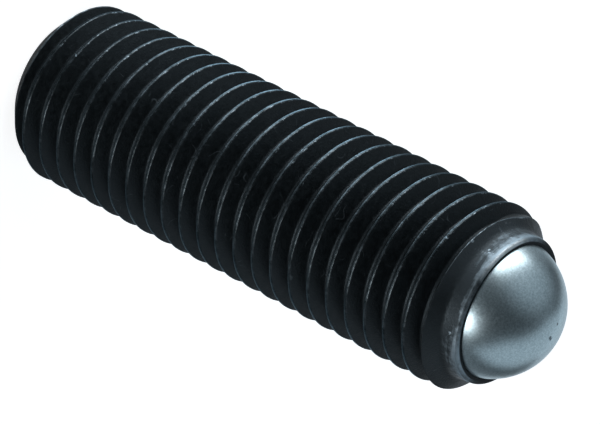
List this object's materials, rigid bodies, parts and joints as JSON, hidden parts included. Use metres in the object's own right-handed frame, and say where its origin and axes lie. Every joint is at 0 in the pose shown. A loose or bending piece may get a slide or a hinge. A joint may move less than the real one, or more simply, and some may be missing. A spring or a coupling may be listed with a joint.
{
  "type": "ball clamping screw",
  "caption": "Headless clamping screw with a full-length thread, a hexagon socket in the rear end and a free-turning steel ball rolled into its tip.",
  "frame": {"origin": "centre of the flat rear face, where the hexagon socket opens", "axes": "+Z along the screw's axis, from the rear face to the ball; two flats of the hexagon socket face +X and -X"},
  "size_m": [0.016, 0.016, 0.0535],
  "materials": {
    "black_oxide_steel": "heat-treated steel with a black oxide finish, worn bright on the thread's crests and on the collar",
    "ball_steel": "hardened and ground bearing steel, satin"
  },
  "bodies": {
    "threaded_body": {"threaded_body": "black_oxide_steel"},
    "ball": {"ball": "ball_steel"}
  },
  "joints": [
    {"name": "ball_turn", "type": "hinge", "parent": "threaded_body", "child": "ball", "pos_m": [0, 0, 0.04745], "axis": [0, 0, 1], "continuous": true}
  ]
}
